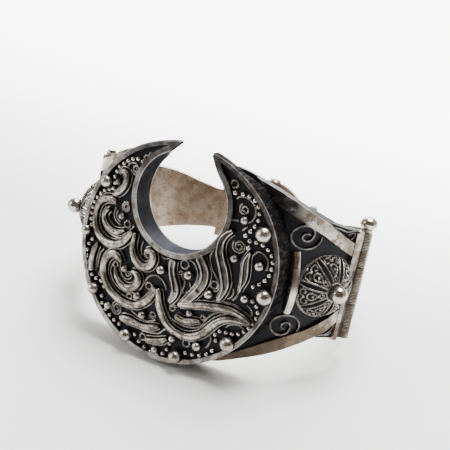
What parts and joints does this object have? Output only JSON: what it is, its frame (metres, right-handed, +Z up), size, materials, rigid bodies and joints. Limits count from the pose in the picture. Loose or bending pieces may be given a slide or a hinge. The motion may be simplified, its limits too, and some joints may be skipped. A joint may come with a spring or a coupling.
{
  "type": "hinged bangle",
  "caption": "Hinged silver bangle with a box-built crescent plaque of scrolls and granules, pierced domes at the sides and a ball-headed clasp pin.",
  "frame": {"origin": "middle of the underside of the bounding box, on the surface that the bangle lies on", "axes": "+Z up from the surface, -Y towards the crescent at the front, +X towards the hinge with the clasp pin"},
  "size_m": [0.0686, 0.0594, 0.0459],
  "materials": {
    "bright_silver": "worn satin silver, bright on the high spots",
    "dark_silver": "oxidised silver, near black in the hollows and bright on the raised edges",
    "patina_silver": "hand-worn silver with a brownish pink patina"
  },
  "bodies": {
    "front": {"front_band": "dark_silver", "crescent_plaque": "dark_silver", "dome_right": "bright_silver", "dome_left": "bright_silver", "bar_right": "bright_silver", "bar_left": "bright_silver", "spiral_right_upper": "bright_silver", "spiral_right_lower": "bright_silver", "spiral_left_upper": "bright_silver", "spiral_left_lower": "bright_silver", "hinge_pin": "bright_silver"},
    "back": {"back_band": "patina_silver", "back_medallion": "bright_silver", "back_bar_right": "bright_silver", "back_bar_left": "bright_silver"},
    "clasp": {"clasp_pin": "bright_silver"}
  },
  "joints": [
    {"name": "back_hinge", "type": "hinge", "parent": "front", "child": "back", "pos_m": [-0.03205, -0.00084, 0.01738], "axis": [0, 0.243, 0.97], "range_deg": [0, 90]},
    {"name": "clasp_slide", "type": "slide", "parent": "front", "child": "clasp", "axis": [0, 0.243, 0.97], "range_m": [0, 0.026]}
  ]
}
